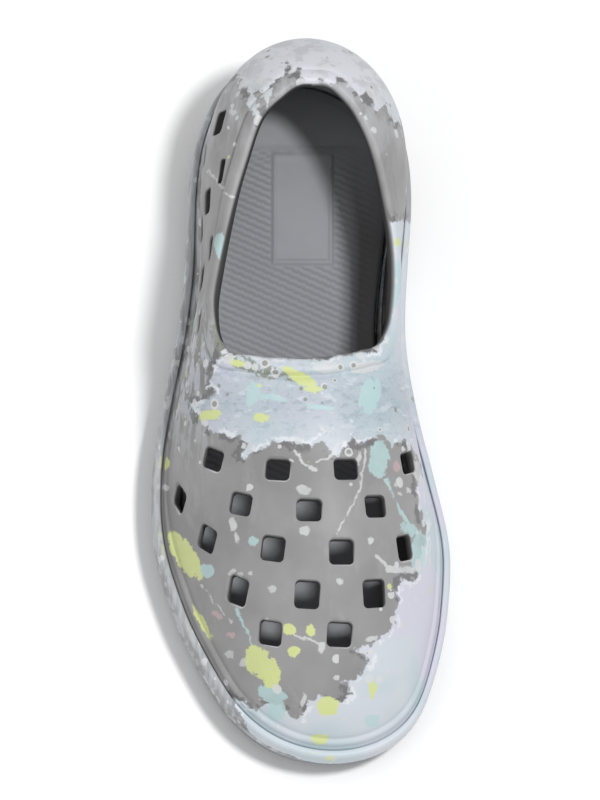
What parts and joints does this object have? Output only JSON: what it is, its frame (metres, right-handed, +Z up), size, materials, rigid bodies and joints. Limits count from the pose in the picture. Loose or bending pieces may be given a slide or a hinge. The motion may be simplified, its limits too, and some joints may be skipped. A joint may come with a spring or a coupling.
{
  "type": "slip-on sneaker",
  "caption": "Child's right slip-on sneaker in moulded foam: perforated shell, lipped collar, cup sole with ledge, lugged tread plate and a loose footbed.",
  "frame": {"origin": "on the floor, at the centre of the shoe's bounding box", "axes": "+Z up, +Y from toe to heel, +X towards the medial (inner) side of a right foot"},
  "size_m": [0.0827, 0.208, 0.0613],
  "materials": {
    "upper": "satin moulded foam with a splatter print",
    "midsole": "satin moulded foam with the same print",
    "outsole": "matt moulded foam",
    "insole": "matt ribbed foam"
  },
  "bodies": {
    "root": {"upper": "upper", "midsole": "midsole", "outsole": "outsole", "insole": "insole"}
  },
  "joints": []
}
